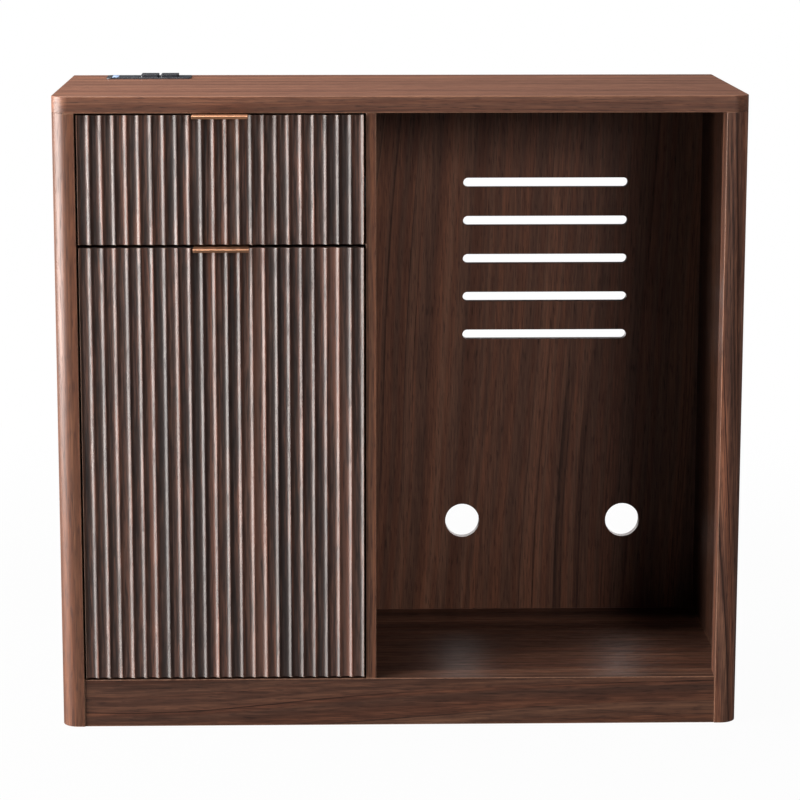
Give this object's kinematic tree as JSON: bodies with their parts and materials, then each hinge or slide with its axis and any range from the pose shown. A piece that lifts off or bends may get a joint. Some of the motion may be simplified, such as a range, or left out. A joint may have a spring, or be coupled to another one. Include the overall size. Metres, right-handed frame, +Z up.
{
  "type": "coffee bar cabinet",
  "caption": "Low bar cabinet with a fluted drawer over a fluted door beside an open bay with a vented back, and a power outlet set into its top.",
  "frame": {"origin": "on the floor, at the bottom centre of the box that holds the cabinet and its projecting pulls", "axes": "+X to the viewer's right along the width, +Y from the front to the back, +Z up"},
  "size_m": [1, 0.422, 0.938],
  "materials": {
    "walnut_board": "satin walnut-grain melamine",
    "walnut_fluted": "satin walnut-grain foil on fluted board",
    "drawer_board": "matt wood-grain melamine",
    "copper_pull": "brushed copper-coloured lacquer",
    "outlet_plastic": "fine matt charcoal",
    "usb_plastic": "fine matt charcoal with pale port tongues",
    "catch_plastic": "matt brown",
    "beech": "plain beech",
    "zinc_steel": "bright zinc-plated strip",
    "zinc_hardware": "zinc-plated"
  },
  "bodies": {
    "carcass": {"top_slab": "walnut_board", "left_front_post": "walnut_board", "right_front_post": "walnut_board", "left_side_panel": "walnut_board", "right_side_panel": "walnut_board", "divider_panel": "walnut_board", "plinth_board": "walnut_board", "bottom_panel": "walnut_board", "rear_base_rail": "walnut_board", "plinth_cross_rail": "walnut_board", "back_panel": "walnut_board", "back_screws": "zinc_hardware", "divider_screws": "zinc_hardware", "drawer_rail": "walnut_board", "cam_locks": "zinc_hardware", "cam_bolts": "zinc_hardware", "dowels": "beech", "cupboard_shelf": "walnut_board", "shelf_pins": "zinc_hardware", "hinge_pins": "zinc_hardware", "hinge_arms": "zinc_hardware", "hinge_plates": "zinc_hardware", "hinge_screws": "zinc_hardware", "hinge_packers": "walnut_board", "magnetic_catch": "catch_plastic", "catch_screw": "zinc_hardware", "left_runner_channel": "zinc_steel", "right_runner_channel": "zinc_steel", "runner_channel_screws": "zinc_hardware", "runner_packer": "walnut_board", "outlet_bezel": "outlet_plastic", "outlet_housing": "outlet_plastic", "outlet_receptacles": "outlet_plastic", "outlet_usb_insert": "usb_plastic", "outlet_clips": "outlet_plastic", "outlet_gland": "outlet_plastic"},
    "door": {"door_panel": "walnut_fluted", "door_pull": "copper_pull", "door_pull_screws": "zinc_hardware", "hinge_cups": "zinc_hardware", "hinge_cup_screws": "zinc_hardware", "strike_plate": "zinc_hardware", "strike_screw": "zinc_hardware"},
    "drawer": {"drawer_front": "walnut_fluted", "drawer_pull": "copper_pull", "drawer_pull_screws": "zinc_hardware", "drawer_box_front": "drawer_board", "drawer_box_back": "drawer_board", "drawer_left_side": "drawer_board", "drawer_right_side": "drawer_board", "drawer_bottom": "drawer_board", "drawer_front_screws": "zinc_hardware", "left_runner_slide": "zinc_steel", "right_runner_slide": "zinc_steel", "runner_slide_screws": "zinc_hardware"},
    "runner_links": {"left_runner_link": "zinc_steel", "right_runner_link": "zinc_steel"}
  },
  "joints": [
    {"name": "door_hinge", "type": "hinge", "parent": "carcass", "child": "door", "pos_m": [-0.4347, -0.176, 0.394], "axis": [0, 0, -1], "range_deg": [0, 95]},
    {"name": "drawer_slide", "type": "slide", "parent": "carcass", "child": "drawer", "axis": [0, -1, 0], "range_m": [0, 0.34]},
    {"name": "runner_link_slide", "type": "slide", "parent": "carcass", "child": "runner_links", "axis": [0, -1, 0], "range_m": [0, 0.17]}
  ],
  "couplings": [
    {"joint": "runner_link_slide", "follows": "drawer_slide", "ratio": 0.5}
  ]
}
